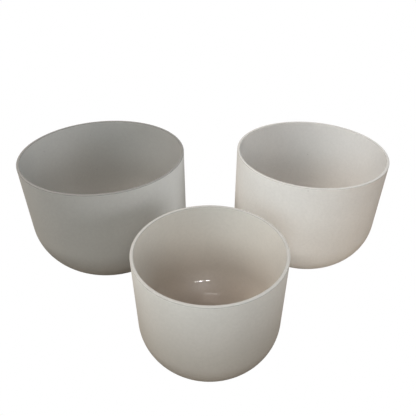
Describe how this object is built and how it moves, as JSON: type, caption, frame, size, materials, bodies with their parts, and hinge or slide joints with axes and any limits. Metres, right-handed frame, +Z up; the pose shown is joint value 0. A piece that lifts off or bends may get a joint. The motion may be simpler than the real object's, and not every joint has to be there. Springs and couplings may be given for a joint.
{
  "type": "crucible set",
  "caption": "Graduated set of open, straight-walled ceramic crucibles with round bottom corners, flat bases and narrow flat rims, standing apart on one level.",
  "frame": {"origin": "middle of the ground that the three crucibles cover, on the level they stand on", "axes": "+Z up along every crucible's axis, -Y towards the small crucible in front, +X from the large crucible towards the medium one"},
  "size_m": [0.6915, 0.5302, 0.23],
  "materials": {
    "grey_ceramic": "matt, fine frosted grain outside, satin inside",
    "pale_ceramic": "matt, fine frosted grain outside, satin inside",
    "warm_ceramic": "matt, fine frosted grain outside, smoother and half glossy in the bottom"
  },
  "bodies": {
    "large_crucible": {"large_crucible": "grey_ceramic"},
    "medium_crucible": {"medium_crucible": "pale_ceramic"},
    "small_crucible": {"small_crucible": "warm_ceramic"}
  },
  "joints": [
    {"name": "medium_lift", "type": "slide", "parent": "large_crucible", "child": "medium_crucible", "axis": [0, 0, 1], "range_m": [0, 0.26]},
    {"name": "small_lift", "type": "slide", "parent": "large_crucible", "child": "small_crucible", "axis": [0, 0, 1], "range_m": [0, 0.26]}
  ]
}
